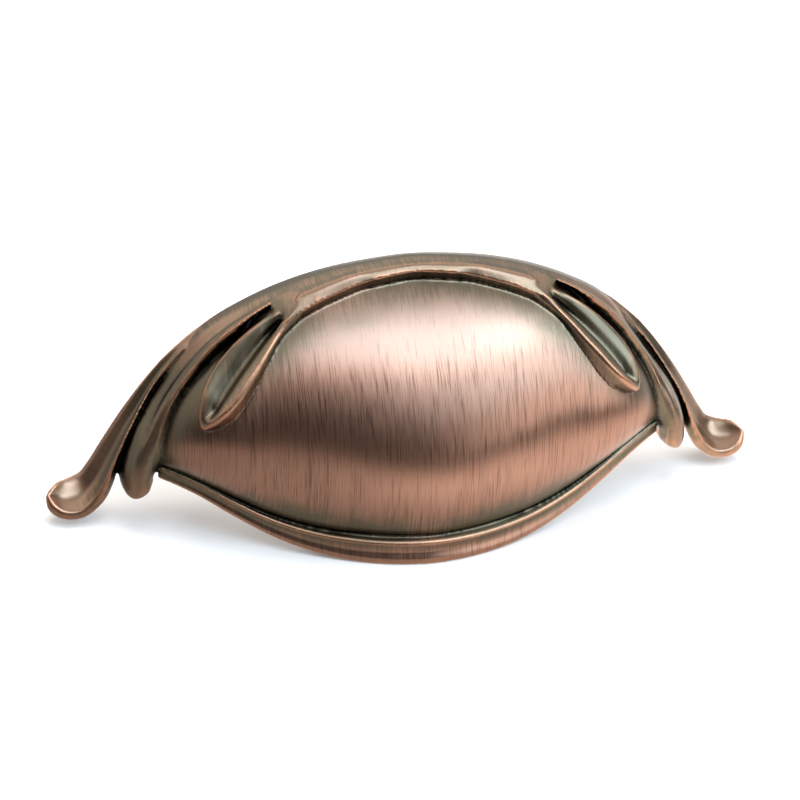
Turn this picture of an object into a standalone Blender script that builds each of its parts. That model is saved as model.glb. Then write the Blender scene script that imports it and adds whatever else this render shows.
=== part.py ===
# Cup pull for a cabinet drawer, one hollow zinc casting.
#
# Frame: X runs along the pull, the cup stands out towards -Y and Z is up. The origin is under
# the middle of the pull, level with its feet. Guide points are (x, forward, z) in millimetres
# for the right half, where forward is how far the point stands out from the drawer front. They
# are drawn for the length, reach and height in DRAWN and stretched to the sizes wanted. The
# left half follows the same guides mirrored. Each form is a loft whose sections follow a few
# guides, and the forms are joined into one casting.
import bisect
import math

import bmesh
import bpy
import numpy as np
from mathutils import Matrix, Vector

MM = 0.001

# Overall size: along the drawer, out from it and up it
PULL_LENGTH = 134.9
CUP_REACH = 29.6
PULL_HEIGHT = 49.2

# Screws
SCREW_CENTRES = 76.2
SCREW_HEIGHT = 21.5
SCREW_HOLE_DIAMETER = 3.4
SCREW_HOLE_DEPTH = 11.0
BOSS_DIAMETER = 8.4
BOSS_RECESS = 0.4

# Walls
CUP_WALL = 2.2
HOLLOW_SHARE = 0.94
LIP_WALL = 2.4
FOOT_THICKNESS = 2.3

# Relief
BAND_WALL = 3.4
BAND_UNDERCUT = 1.0
LEAF_HEIGHT = 3.2
LEAF_GROOVE_DEPTH = 1.6
VALLEY_DEPTH = 1.8
FOOT_COVE_DEPTH = 0.7

# How far the forms run behind the plane that trims their backs
BEHIND_DRAWER_FRONT = 1.5

FORWARD = np.array([0.0, 1.0, 0.0])

# Length, reach and height that the guides are drawn for
DRAWN = (134.9, 29.6, 49.2)

# Back edge of the band, which is the outline against the drawer front
BACK_EDGE = [
    (0, 0, 48.4), (7.5, 0, 47.9), (15, 0, 46.8), (22.5, 0, 44.8), (30, 0, 41.7),
    (37.5, 0, 37.2), (42, 0.2, 32.6), (45.2, 0.8, 27.9), (48.4, 1.7, 23.2),
    (51, 2.8, 18.8), (52.8, 4.2, 14.8), (53.8, 5.5, 11), (54, 6.4, 7.1),
]
# Crest of the band, which runs on as the crest of the lobe
BAND_CREST = [
    (0, 4.6, 49.2), (10, 5.2, 48.6), (20, 5.9, 46.3), (28, 6.1, 43), (34, 5.8, 39.2),
    (38.5, 5.4, 35.2), (41.6, 5.1, 31.4), (44.2, 5.4, 28), (46.9, 6.5, 24.2),
    (48.9, 8.1, 21), (50.5, 9.9, 17.8), (51.5, 11.2, 14.2), (51.8, 11.6, 10.8),
    (51.6, 11.2, 7.1),
]
# Inner edge of the band, which runs on as the inner side of the lobe
BAND_INNER_EDGE = [
    (0, 6.9, 48.3), (6, 7.5, 48), (10, 7.9, 47.5), (14.7, 8.3, 46.6), (19, 8.3, 45.9),
    (22.5, 8.2, 45.3), (25.5, 8.3, 44.8), (29.6, 8.9, 43.2), (32.7, 8.9, 41.1),
    (35.7, 8.7, 38.5), (38.4, 8.5, 35.5), (40.6, 8.7, 32.8), (43, 8.8, 29.4),
    (45.4, 9.4, 25.4), (47.3, 10.6, 20.8), (48.5, 11.3, 16), (49, 11.5, 11.6), (49, 10.9, 7.7),
]
# Outer strand: its back edge, then its front ridge, both running round the toe
FOOT_BACK_EDGE = [
    (33, 0, 39.9), (37.5, 0, 37.2), (41.5, 0, 34), (45, 0, 30.7), (48.8, 0, 26.1),
    (52.5, 0, 20.9), (57, 0, 13.7), (59.2, 0, 10), (61.2, 0.2, 7.5), (63.4, 1, 7.2),
    (65.4, 2.2, 7.5), (66.6, 3.8, 7),
]
FOOT_RIDGE = [
    (34, 1.2, 38.2), (38.6, 1.8, 35.4), (41.9, 2.3, 32.8), (44, 2.2, 30.2),
    (46.2, 2.4, 27.7), (48.2, 3, 25.1), (49.9, 4, 22.6), (51.5, 5, 20), (53, 5.8, 17.4),
    (54.3, 6.2, 14.6), (55.7, 6.4, 11.5), (57.3, 6.6, 8.1), (59.2, 6.8, 5.3),
    (61.6, 6.9, 3.6), (64.2, 6.7, 3.7), (66, 6, 4.9), (66.8, 4.8, 6.2),
]
# Two ridges of the leaf, which meet at its tip
LEAF_INNER_RIDGE = [
    (8, 7.2, 47.3), (11, 8, 47.1), (14.7, 8.8, 46.2), (19.9, 10, 44.6), (23, 10.8, 42.9), (25.6, 12.1, 40.8),
    (27.9, 14.1, 38.7), (30, 15.9, 36.5), (32.3, 17.5, 34.2), (34.5, 18.8, 31.8),
    (37.1, 19.5, 29.3), (39.2, 18.7, 26.9), (40.2, 17.7, 25.6),
]
LEAF_OUTER_RIDGE = [
    (8, 5.6, 48), (11, 5.7, 47.7), (14.7, 5.9, 47.2), (19.6, 6.1, 46),
    (22.6, 6.9, 44.9), (24.6, 7.8, 43.9), (26.5, 8.4, 43),
    (29.3, 9.3, 41.6), (32.1, 9.9, 39.7), (34.7, 10.7, 37.4), (36.9, 11.6, 35.2),
    (38.8, 13.1, 32.9), (39.8, 14.4, 31.2), (40.5, 15.8, 29), (40.8, 16.8, 27),
    (40.6, 17.3, 25.6),
]
# Two edges of the valley that parts the leaf from the band, from its sharp upper end
VALLEY_UPPER_EDGE = [
    (22.2, 6.1, 45.7), (25.3, 7.9, 44.9), (28.3, 8.6, 43.8), (31.5, 8.9, 41.9),
    (35, 8.8, 39.1), (38, 8.6, 36),
]
VALLEY_LOWER_EDGE = [
    (22.2, 6.1, 45.7), (24.9, 7.9, 43.9), (27.7, 8.7, 42.5), (30.7, 9.6, 40.7),
    (33.5, 10.3, 38.5), (36, 11.2, 36.1),
]
# Where the cup leaves the band, inside the band's metal, and its crease above the lip
CUP_TOP = [
    (0, 5, 46.9), (10, 5.7, 46.3), (18, 6, 44.9), (24, 6, 43.1), (30, 5.9, 40.3),
    (35, 5.8, 36.8), (40, 5.7, 32), (44, 6, 26.4), (47, 6.6, 20.4), (48.6, 7.4, 15.2),
]
CUP_CREASE = [
    (0, 27.5, 4.8), (7, 26.7, 4.8), (14, 24.7, 4.9), (21, 21.9, 5.3), (28, 18.9, 6.8),
    (35, 16, 9.7), (41, 13.1, 12.2), (45, 10.8, 13.3), (48, 8.8, 13.8),
]
# Handles of the cup's section: how full it is below the band and at its belly
CUP_SHOULDER = [
    (0, 21.8, 38.8), (11, 21.5, 38.7), (22, 20.5, 38), (31, 19.2, 35.6), (36, 19.5, 32),
    (39.8, 19, 27.5), (43.5, 17, 23.2), (46.5, 12.5, 18.5), (48.5, 8.6, 15),
]
CUP_BELLY = [
    (0, 33.4, 20), (10, 32.4, 20), (20, 30, 19.5), (29, 27, 19), (34.5, 25, 19),
    (38.8, 22.6, 18.6), (42.5, 19, 17.5), (46, 13, 15.5), (48.4, 9, 14.2),
]
# Outer edge of the lip at the bottom of the cup
LIP_EDGE = [
    (0, 29.4, 0), (7, 28.6, 0), (14, 26.5, 0.1), (21, 23.5, 0.9), (28, 20.3, 2.9),
    (35, 17.2, 6.3), (41, 14.1, 9.4), (45, 11.6, 10.7), (48, 9.4, 11.2),
]


def guide(points, mirrored=False):
    """The curve through a list of guide points, stretched to the overall size."""
    stretch = np.array([PULL_LENGTH, CUP_REACH, PULL_HEIGHT]) / DRAWN
    return curve_through(points * stretch, mirrored)


def curve_through(points, mirrored=False):
    """A smooth curve through the points, as a function of the share of its length.

    A mirrored curve also covers the left half of the pull, where its share is negative.
    """
    knots = np.array(points, float)
    steps = np.linalg.norm(np.diff(knots, axis=0), axis=1)
    shares = np.concatenate([[0.0], np.cumsum(steps)]) / steps.sum()
    if mirrored:
        shares = np.concatenate([-shares[:0:-1], shares])
        knots = np.concatenate([knots[:0:-1] * (-1, 1, 1), knots])
    slopes = np.gradient(knots, shares, axis=0)

    def at(share):
        i = min(max(bisect.bisect_right(shares.tolist(), share) - 1, 0), len(shares) - 2)
        span = shares[i + 1] - shares[i]
        t = (share - shares[i]) / span
        start = (1 + 2 * t) * (1 - t) ** 2 * knots[i] + t * (1 - t) ** 2 * span * slopes[i]
        end = t * t * (3 - 2 * t) * knots[i + 1] + t * t * (t - 1) * span * slopes[i + 1]
        return start + end

    return at


def unit(vector):
    return vector / np.linalg.norm(vector)


def direction(curve, share):
    """The way that a guide runs at this share of its length."""
    return unit(curve(share + 0.005) - curve(share - 0.005))


def ease(share, start, end):
    """Zero before start, one after end and smooth between them."""
    t = min(max((share - start) / (end - start), 0.0), 1.0)
    return t * t * (3 - 2 * t)


def spline_points(knots, count):
    curve = curve_through(knots)
    return [curve(share) for share in np.linspace(0, 1, count)]


def behind(point):
    """The point moved back past the drawer front, where the back is trimmed later."""
    return np.array([point[0], -BEHIND_DRAWER_FRONT, point[2]])


def over_both_halves(shares):
    """The shares, which start at the middle of the pull, with their mirror images."""
    return np.concatenate([-np.array(shares)[:0:-1], shares])


def rounded_end(rings, shares, start, fullness=2.0):
    """Shrinks the rings past this share about their centres: a half circle at fullness 2."""
    for ring, share in zip(rings, shares):
        if abs(share) > start:
            t = (abs(share) - start) / (shares[-1] - start)
            size = (1 - (0.97 * t) ** fullness) ** (1 / fullness)
            centre = ring.mean(axis=0)
            ring[:] = centre + (ring - centre) * size
    return rings


def place(point):
    """World position in metres of a point given as (x, forward, z) in millimetres."""
    x, forward, z = point
    return Vector((x, CUP_REACH / 2 - forward, z)) * MM


def loft(name, rings, collection):
    """A closed solid through rings of equal count, with both ends closed."""
    mesh_data = bmesh.new()
    rows = []
    for ring in rings:
        rows.append([mesh_data.verts.new(place(point)) for point in ring])
    count = len(rows[0])
    for row, following in zip(rows, rows[1:]):
        for i in range(count):
            j = (i + 1) % count
            mesh_data.faces.new((row[i], row[j], following[j], following[i]))
    for end in (rows[0], rows[-1]):
        mesh_data.faces.new(end)
    bmesh.ops.triangulate(mesh_data, faces=mesh_data.faces[:])
    bmesh.ops.recalc_face_normals(mesh_data, faces=mesh_data.faces[:])
    mesh = bpy.data.meshes.new(name)
    mesh_data.to_mesh(mesh)
    mesh_data.free()
    obj = bpy.data.objects.new(name, mesh)
    collection.objects.link(obj)
    return obj


def cup_grid(shares, across):
    """Points of the cup's outer face: one row for each share, from the band to the crease."""
    top = guide(CUP_TOP, mirrored=True)
    shoulder = guide(CUP_SHOULDER, mirrored=True)
    belly = guide(CUP_BELLY, mirrored=True)
    crease = guide(CUP_CREASE, mirrored=True)
    rows = []
    for share in shares:
        start, first, second, end = top(share), shoulder(share), belly(share), crease(share)
        row = []
        for t in np.linspace(0, 1, across):
            row.append(
                (1 - t) ** 3 * start
                + 3 * t * (1 - t) ** 2 * first
                + 3 * t * t * (1 - t) * second
                + t ** 3 * end
            )
        rows.append(row)
    return np.array(rows)


def inset(grid, distance):
    """The grid moved into the metal along its normals."""
    along = np.gradient(grid, axis=0)
    across = np.gradient(grid, axis=1)
    normals = np.cross(along, across)
    normals /= np.linalg.norm(normals, axis=2, keepdims=True)
    outward = np.sign(normals[:, grid.shape[1] // 2, 1].mean())
    return grid - outward * distance * normals


def cup(name, skin, last, collection):
    """The cup as a solid, from its outer face less this much skin back to the drawer front."""
    rings = []
    for row in inset(cup_grid(over_both_halves(np.linspace(0, last, 22)), 16), skin):
        rings.append(np.array([*row, behind(row[-1]), behind(row[0])]))
    return loft(name, rings, collection)


def cup_hollow(collection):
    """The inside of the cup, open at the back and at the bottom."""
    shares = over_both_halves(np.linspace(0, HOLLOW_SHARE, 19))
    lip = guide(LIP_EDGE, mirrored=True)
    rings = []
    for share, row in zip(shares, inset(cup_grid(shares, 14), CUP_WALL)):
        edge = lip(share)
        inner_edge = np.array([row[-1][0], max(edge[1] - LIP_WALL, 1.0), edge[2]])
        below = np.array([row[-1][0], inner_edge[1], -3.0])
        rings.append(np.array([*row, inner_edge, below, behind(below) * (1, 2, 1),
                               behind(row[0]) * (1, 2, 1)]))
    return loft("cup_hollow", rings, collection)


def band_and_lobe(collection):
    """The moulding along the top, which narrows into the lobe at its lower end."""
    outer = guide(BACK_EDGE, mirrored=True)
    crest = guide(BAND_CREST, mirrored=True)
    inner = guide(BAND_INNER_EDGE, mirrored=True)
    shares = np.concatenate([np.linspace(0, 0.95, 37), [0.963, 0.972, 0.981, 0.989, 0.995, 1]])
    shares = over_both_halves(shares)
    rings = []
    for share in shares:
        a, c, e = outer(share), crest(share), inner(share)
        along = direction(inner, share)
        inward = unit(np.array([along[2], 0.0, -along[0]]))
        at_lobe = ease(abs(share), 0.7, 0.85)
        split = ease(abs(share), 0.54, 0.64)
        bulge = 0.35 - 0.45 * split * (1 - at_lobe)
        shoulder = (a + c) / 2 - inward * bulge + np.array([0.0, 0.3 + 0.5 * at_lobe, 0.0])
        brow = (c + e) / 2 + np.array([0.0, 0.15 + 0.35 * at_lobe, 0.0])
        face = spline_points([a, shoulder, c, brow, e], 9)
        foot = e + inward * BAND_WALL - np.array([0.0, BAND_UNDERCUT, 0.0])
        depth = ease(abs(share), 0.72, 1.0)
        back = -BEHIND_DRAWER_FRONT + (BEHIND_DRAWER_FRONT + 4.5) * depth
        free = ease(abs(share), 0.86, 0.96)
        foot = foot * (1 - free) + (e + inward * 0.9 - np.array([0.0, 2.6, 0.0])) * free
        inside = np.array([foot[0], back, foot[2]])
        outside = np.array([a[0], back, a[2]])
        rings.append(np.array([outside, *face, foot, inside]))
    return loft("band_and_lobe", rounded_end(rings, shares, 0.96, 2.6), collection)


def foot(collection):
    """The outer strand: a cove with a front ridge, which curls outward as the toe."""
    back_edge = guide(FOOT_BACK_EDGE)
    ridge = guide(FOOT_RIDGE)
    shares = 1 - (1 - np.linspace(0, 1, 54)) ** 1.2
    rings = []
    for share in shares:
        k, o = back_edge(share), ridge(share)
        along = direction(ridge, min(share, 0.95))
        inward = unit(np.array([along[2], 0.0, -along[0]]))
        hollow = FOOT_COVE_DEPTH * ease(share, 0.2, 0.5) * (1 - 0.5 * ease(share, 0.93, 1.0))
        rim = k + 0.12 * (o - k) - inward * 0.12
        cove = (k + o) / 2 + inward * hollow
        face = spline_points([k, rim, cove, o], 8)
        free = ease(share, 0.62, 0.8)
        brow = o + inward * (0.13 + 0.12 * free) * FOOT_THICKNESS + FORWARD * (0.4 * free - 0.1)
        side = o + inward * (0.35 + 0.25 * free) * FOOT_THICKNESS + FORWARD * (1.2 * free - 1.0)
        under = o + inward * (0.8 + 0.2 * free) * FOOT_THICKNESS + FORWARD * (1.2 * free - 2.2)
        heel = k + inward * FOOT_THICKNESS
        ending = ease(share, 0.8, 0.93)
        behind_k = behind(k) * (1 - ending) + (k + inward * 0.6) * ending
        behind_heel = behind(heel) * (1 - ending) + heel * ending
        rings.append(np.array([behind_k, *face, brow, side, under, behind_heel]))
    return loft("foot", rounded_end(rings, shares, 0.91), collection)


def leaf(collection):
    """The leaf that lies on the cup: two ridges with a groove between, meeting at a tip."""
    inner = guide(LEAF_INNER_RIDGE)
    outer = guide(LEAF_OUTER_RIDGE)
    shares = np.concatenate([np.linspace(0, 0.9, 36), [0.92, 0.94, 0.96, 0.975, 0.988, 1]])
    rings = []
    for share in shares:
        i, o = inner(share), outer(share)
        width = np.linalg.norm(i - o)
        chord = (i - o) / width
        along = direction(inner, min(share, 0.9))
        out = unit(np.cross(chord, along))
        out = out * np.sign(out[1])
        depth = LEAF_GROOVE_DEPTH * ease(share, 0.36, 0.56) * (1 - ease(share, 0.88, 0.965))
        groove = o + 0.5 * (i - o) - out * depth
        rise = 0.2 * width * (1 - ease(share, 0.3, 0.55))
        outer_slope = (o + groove) / 2 + out * (0.3 * depth + rise)
        inner_slope = (i + groove) / 2 + out * (0.3 * depth + rise)
        outer_side = o - chord * 0.45 - out * 0.5
        inner_side = i + chord * 0.35 - out * 0.6
        outer_foot = o - chord * 0.7 - out * LEAF_HEIGHT
        inner_foot = i + chord * 0.5 - out * LEAF_HEIGHT
        rings.append(np.array([outer_foot, outer_side, o, outer_slope, groove, inner_slope, i,
                               inner_side, inner_foot]))
    return loft("leaf", rings, collection)


def leaf_valley(collection):
    """The cut that parts the leaf from the band: a wedge that starts and ends at nothing."""
    upper = guide(VALLEY_UPPER_EDGE)
    lower = guide(VALLEY_LOWER_EDGE)
    rings = []
    for share in np.linspace(0, 1, 14):
        u, w = upper(share), lower(share)
        chord = unit(upper(max(share, 0.2)) - lower(max(share, 0.2)))
        out = unit(np.cross(chord, direction(lower, share)))
        out = out * np.sign(out[1])
        depth = VALLEY_DEPTH * ease(share, -0.05, 0.3) * (1 - 0.75 * ease(share, 0.45, 1.0))
        lift = out * 0.25 * (1 - ease(share, 0.0, 0.2)) + out * 1.2 * ease(share, 0.8, 1.0)
        half = chord * 0.1
        floor = (u + w) / 2 - out * depth
        top, bottom = u + half + 0.6 * (u + half - floor), w - half + 0.6 * (w - half - floor)
        rings.append(np.array([floor, top, bottom]) + lift)
    return loft("leaf_valley", rings, collection)


# The lip's section from the crease to its underside: share of the way down to the lip's
# edge, and how far it stands out as a share of that distance
LIP_SECTION = [
    (-0.05, -0.1), (0, 0.13), (0.04, 0.23), (0.125, 0.27), (0.25, 0.21), (0.375, 0.13),
    (0.54, 0.1), (0.73, 0.12), (0.875, 0.09), (0.97, 0.02), (1, -0.12), (1, -0.3),
]


def lip(collection):
    """The rolled and flared rim along the bottom of the cup."""
    crease = guide(CUP_CREASE, mirrored=True)
    edge = guide(LIP_EDGE, mirrored=True)
    rings = []
    for share in over_both_halves(np.linspace(0, 1, 28)):
        c, e = crease(share), edge(share)
        size = np.linalg.norm(e - c)
        along = direction(crease, share)
        out = unit(np.array([-along[1], along[0], 0.0]))
        out = out * np.sign(out[1])
        ring = [c + down * (e - c) + forward * size * out for down, forward in LIP_SECTION]
        ring.append(e - out * 4.0)
        ring.append(c - out * 3.0 + np.array([0.0, 0.0, 1.5]))
        rings.append(np.array(ring))
    return loft("lip", rings, collection)


def on_left(obj):
    """The form's mirror image in the left half."""
    copy = obj.copy()
    copy.data = obj.data.copy()
    copy.name = obj.name + "_left"
    copy.data.transform(Matrix.Scale(-1, 4, (1, 0, 0)))
    copy.data.flip_normals()
    obj.users_collection[0].objects.link(copy)
    return copy


def rod(name, diameter, start, end, collection):
    """A rod square to the drawer front at the screw's place, between two forward depths."""
    bpy.ops.mesh.primitive_cylinder_add(
        vertices=32, radius=diameter / 2 * MM, depth=(end - start) * MM,
        location=place((SCREW_CENTRES / 2, (start + end) / 2, SCREW_HEIGHT)),
        rotation=(math.pi / 2, 0, 0),
    )
    bpy.ops.object.transform_apply()
    return adopt(name, collection)


def behind_box(name, collection):
    """Everything behind the plane of the drawer front."""
    depth = 20
    bpy.ops.mesh.primitive_cube_add(size=1, location=place((0, -depth / 2, PULL_HEIGHT / 2)))
    bpy.context.object.scale = np.array([1.3 * PULL_LENGTH, depth, 2 * PULL_HEIGHT]) * MM
    bpy.ops.object.transform_apply()
    return adopt(name, collection)


def adopt(name, collection):
    """Names the active object and moves it to the collection."""
    obj = bpy.context.object
    obj.name = name
    for old in obj.users_collection:
        old.objects.unlink(obj)
    collection.objects.link(obj)
    return obj


def boolean(target, other, operation):
    modifier = target.modifiers.new(other.name, "BOOLEAN")
    modifier.operation = operation
    modifier.object = other
    other.hide_render = True
    other.display_type = "WIRE"


def antique_copper():
    material = bpy.data.materials.new("antique_copper")
    material.use_nodes = True
    shader = material.node_tree.nodes["Principled BSDF"]
    shader.inputs["Base Color"].default_value = (0.30, 0.155, 0.11, 1)
    shader.inputs["Metallic"].default_value = 1.0
    shader.inputs["Roughness"].default_value = 0.34
    return material


def new_collection(name):
    collection = bpy.data.collections.new(name)
    bpy.context.scene.collection.children.link(collection)
    return collection


def build():
    for obj in list(bpy.data.objects):
        bpy.data.objects.remove(obj, do_unlink=True)
    parts = new_collection("cup_pull")
    helpers = new_collection("forms_and_cutters")

    casting = cup("pull_casting", 0.0, 1.0, parts)
    boolean(casting, band_and_lobe(helpers), "UNION")
    boolean(casting, lip(helpers), "UNION")
    for form in (leaf(helpers), foot(helpers)):
        boolean(casting, form, "UNION")
        boolean(casting, on_left(form), "UNION")
    valley = leaf_valley(helpers)
    boolean(casting, valley, "DIFFERENCE")
    boolean(casting, on_left(valley), "DIFFERENCE")
    boolean(casting, cup_hollow(helpers), "DIFFERENCE")
    boss = rod("boss", BOSS_DIAMETER, BOSS_RECESS, CUP_REACH, helpers)
    boolean(boss, cup("boss_limit", 0.6 * CUP_WALL, HOLLOW_SHARE, helpers), "INTERSECT")
    hole = rod("screw_hole", SCREW_HOLE_DIAMETER, -1.0, SCREW_HOLE_DEPTH, helpers)
    for form, operation in ((boss, "UNION"), (hole, "DIFFERENCE")):
        boolean(casting, form, operation)
        boolean(casting, on_left(form), operation)
    boolean(casting, behind_box("drawer_front", helpers), "DIFFERENCE")

    casting.data.materials.append(antique_copper())
    casting.data.shade_smooth()
    casting.data.set_sharp_from_angle(angle=math.radians(35))


build()
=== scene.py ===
import bisect
import math

import bmesh
import bpy
import numpy as np
from mathutils import Matrix, Vector
from mathutils.bvhtree import BVHTree
from mathutils.kdtree import KDTree


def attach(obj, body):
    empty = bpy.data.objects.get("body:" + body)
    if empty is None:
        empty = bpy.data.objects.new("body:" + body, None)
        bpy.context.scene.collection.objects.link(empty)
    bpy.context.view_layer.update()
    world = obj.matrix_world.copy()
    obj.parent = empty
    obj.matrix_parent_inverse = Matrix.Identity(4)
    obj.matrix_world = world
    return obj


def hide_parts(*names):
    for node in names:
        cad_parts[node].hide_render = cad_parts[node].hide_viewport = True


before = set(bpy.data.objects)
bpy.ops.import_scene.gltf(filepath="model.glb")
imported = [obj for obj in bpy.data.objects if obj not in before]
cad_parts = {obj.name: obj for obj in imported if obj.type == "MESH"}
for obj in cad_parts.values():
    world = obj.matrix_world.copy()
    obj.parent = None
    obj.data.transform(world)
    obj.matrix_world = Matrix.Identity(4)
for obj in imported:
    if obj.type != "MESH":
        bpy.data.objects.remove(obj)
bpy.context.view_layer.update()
mm = 0.001
forward = np.array([0.0, 1.0, 0.0])

# Overall sizes and walls in millimetres, and how finely the casting is meshed
casting = {
    "reach": 29.6,
    "height": 49.2,
    "cupWall": 2.2,
    "lipWall": 2.4,
    "hollowShare": 0.94,
    "behind": 1.5,
    "voxel": 0.24,
    "smoothing": 4,
    "triangles": 190000,
}

# Guides of the right half, in millimetres: x, forward from the drawer front, z
guides = {
    "backEdge": [
        (0, 0, 48.4), (7.5, 0, 47.9), (15, 0, 46.8), (22.5, 0, 44.8), (30, 0, 41.7),
        (37.5, 0, 37.2), (42, 0.2, 32.6), (45.2, 0.8, 27.9), (48.4, 1.7, 23.2),
        (51, 2.8, 18.8), (52.8, 4.2, 14.8), (53.8, 5.5, 11), (54, 6.4, 7.1),
    ],
    "crest": [
        (0, 4.6, 49.2), (10, 5.2, 48.6), (20, 5.9, 46.3), (28, 6.1, 43), (34, 5.8, 39.2),
        (38.5, 5.4, 35.2), (41.6, 5.1, 31.4), (44.2, 5.4, 28), (46.9, 6.5, 24.2),
        (48.9, 8.1, 21), (50.5, 9.9, 17.8), (51.5, 11.2, 14.2), (51.8, 11.6, 10.8),
        (51.6, 11.2, 7.1),
    ],
    "innerEdge": [
        (0, 6.9, 48.3), (6, 7.5, 48), (10, 7.9, 47.5), (14.7, 8.3, 46.6), (19, 8.3, 45.9),
        (22.5, 8.2, 45.3), (25.5, 8.3, 44.8), (29.6, 8.9, 43.2), (32.7, 8.9, 41.1),
        (35.7, 8.7, 38.5), (38.4, 8.5, 35.5), (40.6, 8.7, 32.8), (43, 8.8, 29.4),
        (45.4, 9.4, 25.4), (47.3, 10.6, 20.8), (48.5, 11.3, 16), (49, 11.5, 11.6),
        (49, 10.9, 7.7),
    ],
    "footBack": [
        (33, 0, 39.9), (37.5, 0, 37.2), (41.5, 0, 34), (45, 0, 30.7), (48.8, 0, 26.1),
        (52.5, 0, 20.9), (57, 0, 13.7), (59.2, 0, 10), (61.2, 0.2, 7.5), (63.4, 1, 7.2),
        (65.4, 2.2, 7.5), (66.6, 3.8, 7),
    ],
    "footRidge": [
        (34, 1.2, 38.2), (38.6, 1.8, 35.4), (41.9, 2.3, 32.8), (44, 2.2, 30.2),
        (46.2, 2.4, 27.7), (48.2, 3, 25.1), (49.9, 4, 22.6), (51.5, 5, 20), (53, 5.8, 17.4),
        (54.3, 6.2, 14.6), (55.7, 6.4, 11.5), (57.3, 6.6, 8.1), (59.2, 6.8, 5.3),
        (61.6, 6.9, 3.6), (64.2, 6.7, 3.7), (66, 6, 4.9), (66.8, 4.8, 6.2),
    ],
    "leafInner": [
        (8, 7.2, 47.3), (11, 8, 47.1), (14.7, 8.8, 46.2), (19.9, 10, 44.6), (23, 10.8, 42.9),
        (25.6, 12.1, 40.8), (27.9, 14.1, 38.7), (30, 15.9, 36.5), (32.3, 17.5, 34.2),
        (34.5, 18.8, 31.8), (37.1, 19.5, 29.3), (39.2, 18.7, 26.9), (40.2, 17.7, 25.6),
    ],
    "leafOuter": [
        (8, 5.6, 48), (11, 5.7, 47.7), (14.7, 5.9, 47.2), (19.6, 6.1, 46),
        (22.6, 6.9, 44.9), (24.6, 7.8, 43.9), (26.5, 8.4, 43), (29.3, 9.3, 41.6),
        (32.1, 9.9, 39.7), (34.7, 10.7, 37.4), (36.9, 11.6, 35.2), (38.8, 13.1, 32.9),
        (39.8, 14.4, 31.2), (40.5, 15.8, 29), (40.8, 16.8, 27), (40.6, 17.3, 25.6),
    ],
    "valleyUpper": [
        (22.2, 6.1, 45.7), (25.3, 7.9, 44.9), (28.3, 8.6, 43.8), (31.5, 8.9, 41.9),
        (35, 8.8, 39.1), (38, 8.6, 36),
    ],
    "valleyLower": [
        (22.2, 6.1, 45.7), (24.9, 7.9, 43.9), (27.7, 8.7, 42.5), (30.7, 9.6, 40.7),
        (33.5, 10.3, 38.5), (36, 11.2, 36.1),
    ],
    "cupTop": [
        (0, 5, 46.9), (10, 5.7, 46.3), (18, 6, 44.9), (24, 6, 43.1), (30, 5.9, 40.3),
        (35, 5.8, 36.8), (40, 5.7, 32), (44, 6, 26.4), (47, 6.6, 20.4), (48.6, 7.4, 15.2),
    ],
    "cupShoulder": [
        (0, 21.8, 38.8), (11, 21.5, 38.7), (22, 20.5, 38), (31, 19.2, 35.6), (36, 19.5, 32),
        (39.8, 19, 27.5), (43.5, 17, 23.2), (46.5, 12.5, 18.5), (48.5, 8.6, 15),
    ],
    "cupBelly": [
        (0, 33.4, 20), (10, 32.4, 20), (20, 30, 19.5), (29, 27, 19), (34.5, 25, 19),
        (38.8, 22.6, 18.6), (42.5, 19, 17.5), (46, 13, 15.5), (48.4, 9, 14.2),
    ],
    "cupCrease": [
        (0, 27.5, 4.8), (7, 26.7, 4.8), (14, 24.7, 4.9), (21, 21.9, 5.3), (28, 18.9, 6.8),
        (35, 16, 9.7), (41, 13.1, 12.2), (45, 10.8, 13.3), (48, 8.8, 13.8),
    ],
    "lipEdge": [
        (0, 29.4, 0), (7, 28.6, 0), (14, 26.5, 0.1), (21, 23.5, 0.9), (28, 20.3, 2.9),
        (35, 17.2, 6.3), (41, 14.1, 9.4), (45, 11.6, 10.7), (48, 9.4, 11.2),
    ],
}


def curveThrough(points, mirrored=False):
    knots = np.array(points, float)
    steps = np.linalg.norm(np.diff(knots, axis=0), axis=1)
    shares = np.concatenate([[0.0], np.cumsum(steps)]) / steps.sum()
    if mirrored:  # the left half has negative shares
        shares = np.concatenate([-shares[:0:-1], shares])
        knots = np.concatenate([knots[:0:-1] * (-1, 1, 1), knots])
    slopes = np.gradient(knots, shares, axis=0)

    def at(share):
        i = min(max(bisect.bisect_right(shares.tolist(), share) - 1, 0), len(shares) - 2)
        span = shares[i + 1] - shares[i]
        t = (share - shares[i]) / span
        start = (1 + 2 * t) * (1 - t) ** 2 * knots[i] + t * (1 - t) ** 2 * span * slopes[i]
        end = t * t * (3 - 2 * t) * knots[i + 1] + t * t * (t - 1) * span * slopes[i + 1]
        return start + end

    return at


def guide(name, mirrored=True):
    return curveThrough(guides[name], mirrored)


def byLength(name):
    # the guide's forward and z values for a distance x from the middle
    curve = guide(name, False)
    x, ahead, z = np.array([curve(share) for share in np.linspace(0, 1, 400)]).T

    def at(distance):
        return np.array([distance, np.interp(distance, x, ahead), np.interp(distance, x, z)])

    return at


def unit(vector):
    return vector / np.linalg.norm(vector)


def direction(curve, share):
    return unit(curve(share + 0.005) - curve(share - 0.005))


def inwardFrom(along):
    # square to a strand that runs along, in the plane of the drawer front
    return unit(np.array([along[2], 0.0, -along[0]]))


def outwardFrom(across, along):
    # square to both ways, on the side away from the drawer front
    out = unit(np.cross(across, along))
    return out * np.sign(out[1])


def ease(share, start, end):
    t = min(max((share - start) / (end - start), 0.0), 1.0)
    return t * t * (3 - 2 * t)


def splinePoints(knots, count):
    curve = curveThrough(knots)
    return [curve(share) for share in np.linspace(0, 1, count)]


def behind(point):
    return np.array([point[0], -casting["behind"], point[2]])


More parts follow.
